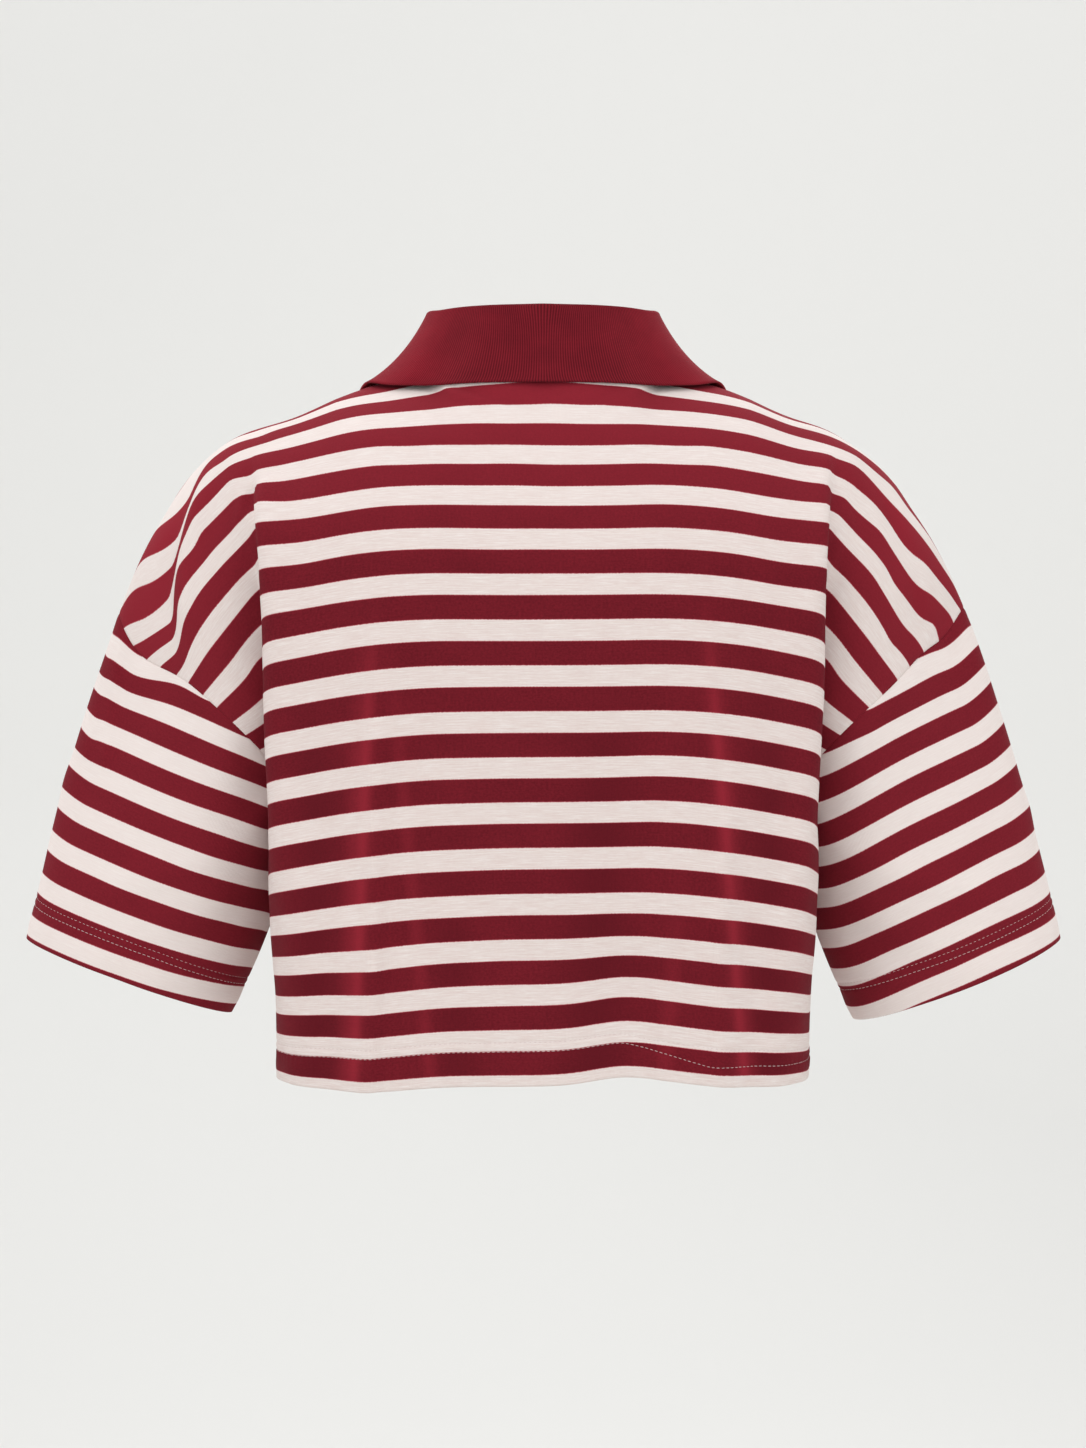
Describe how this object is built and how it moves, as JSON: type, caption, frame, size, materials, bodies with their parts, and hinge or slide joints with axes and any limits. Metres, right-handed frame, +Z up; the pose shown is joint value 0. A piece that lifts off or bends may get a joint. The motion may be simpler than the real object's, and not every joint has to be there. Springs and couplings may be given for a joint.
{
  "type": "crop top",
  "caption": "Boxy cropped knit top with wide stripes, extended shoulders, elbow-length sleeves and a plain rib turn-down collar over a V neck, filled out as worn",
  "frame": {"origin": "the middle of the neck opening, at the height where the collar meets the shoulders", "axes": "+Z up; -Y the way the wearer faces; +X the wearer's left"},
  "size_m": [0.7202, 0.2235, 0.5238],
  "materials": {
    "striped_jersey": "matt cotton jersey in even deep red and pinkish off-white stripes about 15 mm high, with faint heather streaks",
    "rib_knit": "matt deep red rib knit with fine upright ribs"
  },
  "bodies": {
    "root": {"back": "striped_jersey", "front": "striped_jersey", "sleeve_left": "striped_jersey", "sleeve_right": "striped_jersey", "collar": "rib_knit"}
  },
  "joints": []
}
